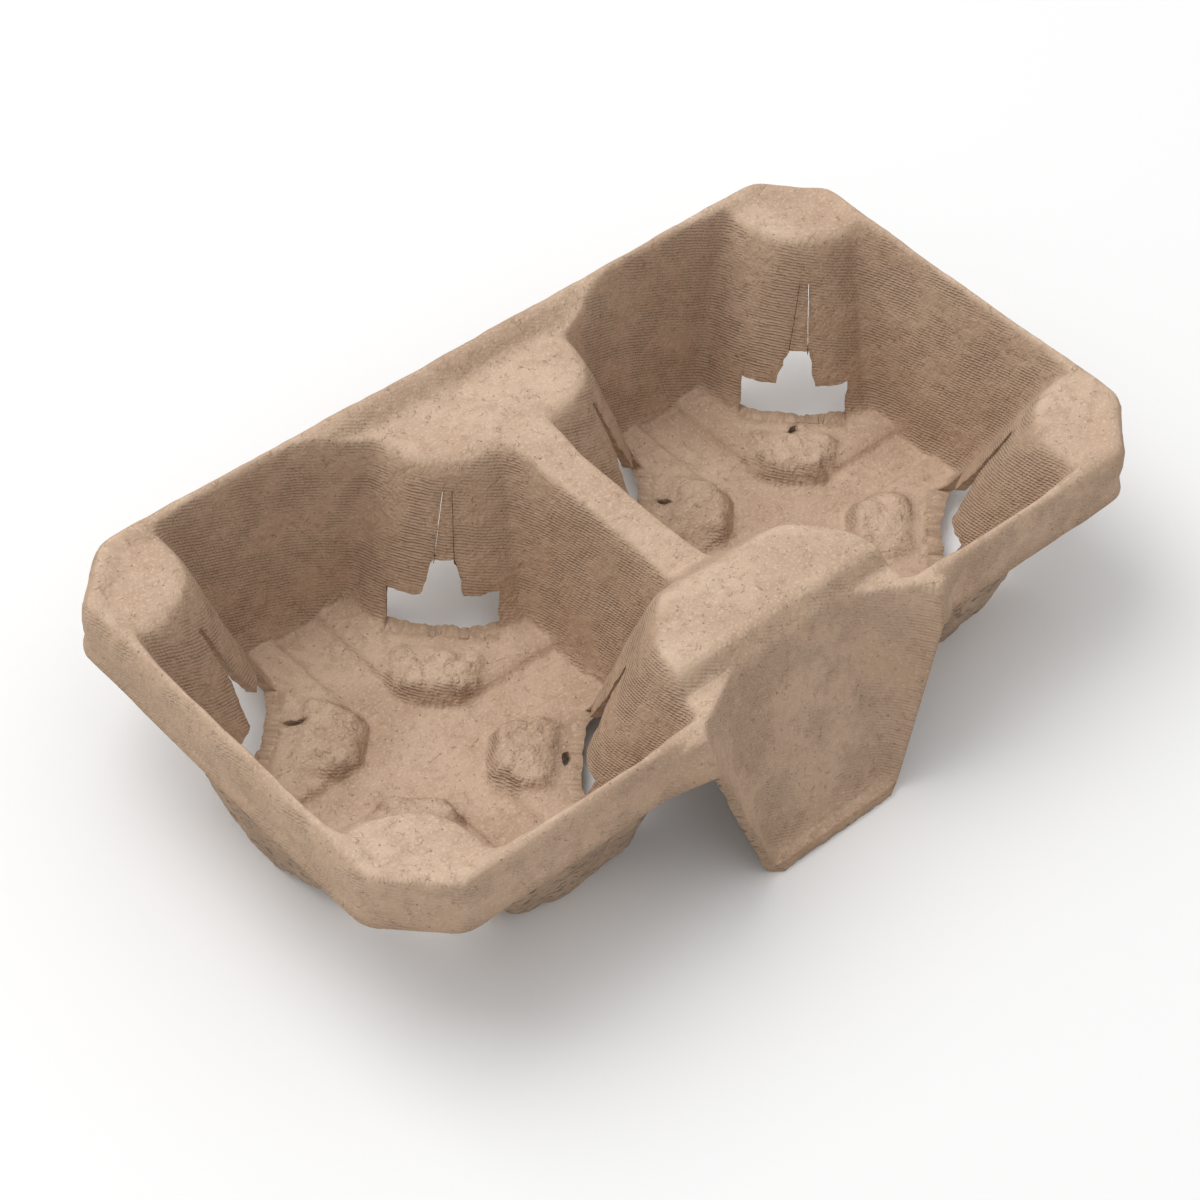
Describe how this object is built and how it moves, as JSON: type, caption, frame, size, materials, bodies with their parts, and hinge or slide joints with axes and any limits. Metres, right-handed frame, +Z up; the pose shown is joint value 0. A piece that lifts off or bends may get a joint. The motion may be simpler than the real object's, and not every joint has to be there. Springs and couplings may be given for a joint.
{
  "type": "drink carrier tray",
  "caption": "Moulded pulp tray that carries drink cups: cross-shaped pockets with T-cut corner flaps, a turned-down skirt and a sloped centre panel.",
  "frame": {"origin": "middle of the bounding box, on the table", "axes": "+X along the tray, -Y out of the side with the sloped panel, +Z up"},
  "size_m": [0.216, 0.132, 0.0505],
  "materials": {
    "pulp": "matte moulded fibre"
  },
  "bodies": {
    "tray": {"back_left_gusset": "pulp", "back_platform": "pulp", "back_right_gusset": "pulp", "back_rim": "pulp", "back_slope": "pulp", "front_left_gusset": "pulp", "front_left_rim": "pulp", "front_panel": "pulp", "front_platform": "pulp", "front_ramp": "pulp", "front_right_gusset": "pulp", "front_right_rim": "pulp", "left_back_inner_pilaster": "pulp", "left_back_outer_pilaster": "pulp", "left_back_wall": "pulp", "left_cup_floor": "pulp", "left_end_wall": "pulp", "left_front_inner_pilaster": "pulp", "left_front_outer_pilaster": "pulp", "left_front_wall": "pulp", "left_inner_wall": "pulp", "left_rim": "pulp", "panel_foot_lip": "pulp", "panel_wing_left": "pulp", "panel_wing_right": "pulp", "right_back_inner_pilaster": "pulp", "right_back_outer_pilaster": "pulp", "right_back_wall": "pulp", "right_cup_floor": "pulp", "right_end_wall": "pulp", "right_front_inner_pilaster": "pulp", "right_front_outer_pilaster": "pulp", "right_front_wall": "pulp", "right_inner_wall": "pulp", "right_rim": "pulp", "saddle": "pulp"},
    "left_back_outer_flap_a": {"left_back_outer_flap_a": "pulp"},
    "left_back_outer_flap_b": {"left_back_outer_flap_b": "pulp"},
    "left_back_inner_flap_a": {"left_back_inner_flap_a": "pulp"},
    "left_back_inner_flap_b": {"left_back_inner_flap_b": "pulp"},
    "left_front_outer_flap_a": {"left_front_outer_flap_a": "pulp"},
    "left_front_outer_flap_b": {"left_front_outer_flap_b": "pulp"},
    "left_front_inner_flap_a": {"left_front_inner_flap_a": "pulp"},
    "left_front_inner_flap_b": {"left_front_inner_flap_b": "pulp"},
    "right_back_outer_flap_a": {"right_back_outer_flap_a": "pulp"},
    "right_back_outer_flap_b": {"right_back_outer_flap_b": "pulp"},
    "right_back_inner_flap_a": {"right_back_inner_flap_a": "pulp"},
    "right_back_inner_flap_b": {"right_back_inner_flap_b": "pulp"},
    "right_front_outer_flap_a": {"right_front_outer_flap_a": "pulp"},
    "right_front_outer_flap_b": {"right_front_outer_flap_b": "pulp"},
    "right_front_inner_flap_a": {"right_front_inner_flap_a": "pulp"},
    "right_front_inner_flap_b": {"right_front_inner_flap_b": "pulp"}
  },
  "joints": [
    {"name": "left_back_outer_flap_a_hinge", "type": "hinge", "parent": "tray", "child": "left_back_outer_flap_a", "pos_m": [-0.08797, 0.02604, 0.012], "axis": [-0.0253, 0.4746, 0.8798], "range_deg": [0, 20], "stiffness_Nm_per_rad": 0.0005},
    {"name": "left_back_outer_flap_b_hinge", "type": "hinge", "parent": "tray", "child": "left_back_outer_flap_b", "pos_m": [-0.07454, 0.03947, 0.012], "axis": [0.4746, -0.0253, -0.8798], "range_deg": [0, 20], "stiffness_Nm_per_rad": 0.0005},
    {"name": "left_back_inner_flap_a_hinge", "type": "hinge", "parent": "tray", "child": "left_back_inner_flap_a", "pos_m": [-0.03346, 0.03947, 0.012], "axis": [0.4746, 0.0253, 0.8798], "range_deg": [0, 20], "stiffness_Nm_per_rad": 0.0005},
    {"name": "left_back_inner_flap_b_hinge", "type": "hinge", "parent": "tray", "child": "left_back_inner_flap_b", "pos_m": [-0.02003, 0.02604, 0.012], "axis": [-0.0253, -0.4746, -0.8798], "range_deg": [0, 20], "stiffness_Nm_per_rad": 0.0005},
    {"name": "left_front_outer_flap_a_hinge", "type": "hinge", "parent": "tray", "child": "left_front_outer_flap_a", "pos_m": [-0.07454, -0.02847, 0.012], "axis": [-0.4746, -0.0253, 0.8798], "range_deg": [0, 20], "stiffness_Nm_per_rad": 0.0005},
    {"name": "left_front_outer_flap_b_hinge", "type": "hinge", "parent": "tray", "child": "left_front_outer_flap_b", "pos_m": [-0.08797, -0.01504, 0.012], "axis": [0.0253, 0.4746, -0.8798], "range_deg": [0, 20], "stiffness_Nm_per_rad": 0.0005},
    {"name": "left_front_inner_flap_a_hinge", "type": "hinge", "parent": "tray", "child": "left_front_inner_flap_a", "pos_m": [-0.02003, -0.01504, 0.012], "axis": [0.0253, -0.4746, 0.8798], "range_deg": [0, 20], "stiffness_Nm_per_rad": 0.0005},
    {"name": "left_front_inner_flap_b_hinge", "type": "hinge", "parent": "tray", "child": "left_front_inner_flap_b", "pos_m": [-0.03346, -0.02847, 0.012], "axis": [-0.4746, 0.0253, -0.8798], "range_deg": [0, 20], "stiffness_Nm_per_rad": 0.0005},
    {"name": "right_back_outer_flap_a_hinge", "type": "hinge", "parent": "tray", "child": "right_back_outer_flap_a", "pos_m": [0.07454, 0.03947, 0.012], "axis": [0.4746, 0.0253, 0.8798], "range_deg": [0, 20], "stiffness_Nm_per_rad": 0.0005},
    {"name": "right_back_outer_flap_b_hinge", "type": "hinge", "parent": "tray", "child": "right_back_outer_flap_b", "pos_m": [0.08797, 0.02604, 0.012], "axis": [-0.0253, -0.4746, -0.8798], "range_deg": [0, 20], "stiffness_Nm_per_rad": 0.0005},
    {"name": "right_back_inner_flap_a_hinge", "type": "hinge", "parent": "tray", "child": "right_back_inner_flap_a", "pos_m": [0.02003, 0.02604, 0.012], "axis": [-0.0253, 0.4746, 0.8798], "range_deg": [0, 20], "stiffness_Nm_per_rad": 0.0005},
    {"name": "right_back_inner_flap_b_hinge", "type": "hinge", "parent": "tray", "child": "right_back_inner_flap_b", "pos_m": [0.03346, 0.03947, 0.012], "axis": [0.4746, -0.0253, -0.8798], "range_deg": [0, 20], "stiffness_Nm_per_rad": 0.0005},
    {"name": "right_front_outer_flap_a_hinge", "type": "hinge", "parent": "tray", "child": "right_front_outer_flap_a", "pos_m": [0.08797, -0.01504, 0.012], "axis": [0.0253, -0.4746, 0.8798], "range_deg": [0, 20], "stiffness_Nm_per_rad": 0.0005},
    {"name": "right_front_outer_flap_b_hinge", "type": "hinge", "parent": "tray", "child": "right_front_outer_flap_b", "pos_m": [0.07454, -0.02847, 0.012], "axis": [-0.4746, 0.0253, -0.8798], "range_deg": [0, 20], "stiffness_Nm_per_rad": 0.0005},
    {"name": "right_front_inner_flap_a_hinge", "type": "hinge", "parent": "tray", "child": "right_front_inner_flap_a", "pos_m": [0.03346, -0.02847, 0.012], "axis": [-0.4746, -0.0253, 0.8798], "range_deg": [0, 20], "stiffness_Nm_per_rad": 0.0005},
    {"name": "right_front_inner_flap_b_hinge", "type": "hinge", "parent": "tray", "child": "right_front_inner_flap_b", "pos_m": [0.02003, -0.01504, 0.012], "axis": [0.0253, 0.4746, -0.8798], "range_deg": [0, 20], "stiffness_Nm_per_rad": 0.0005}
  ]
}
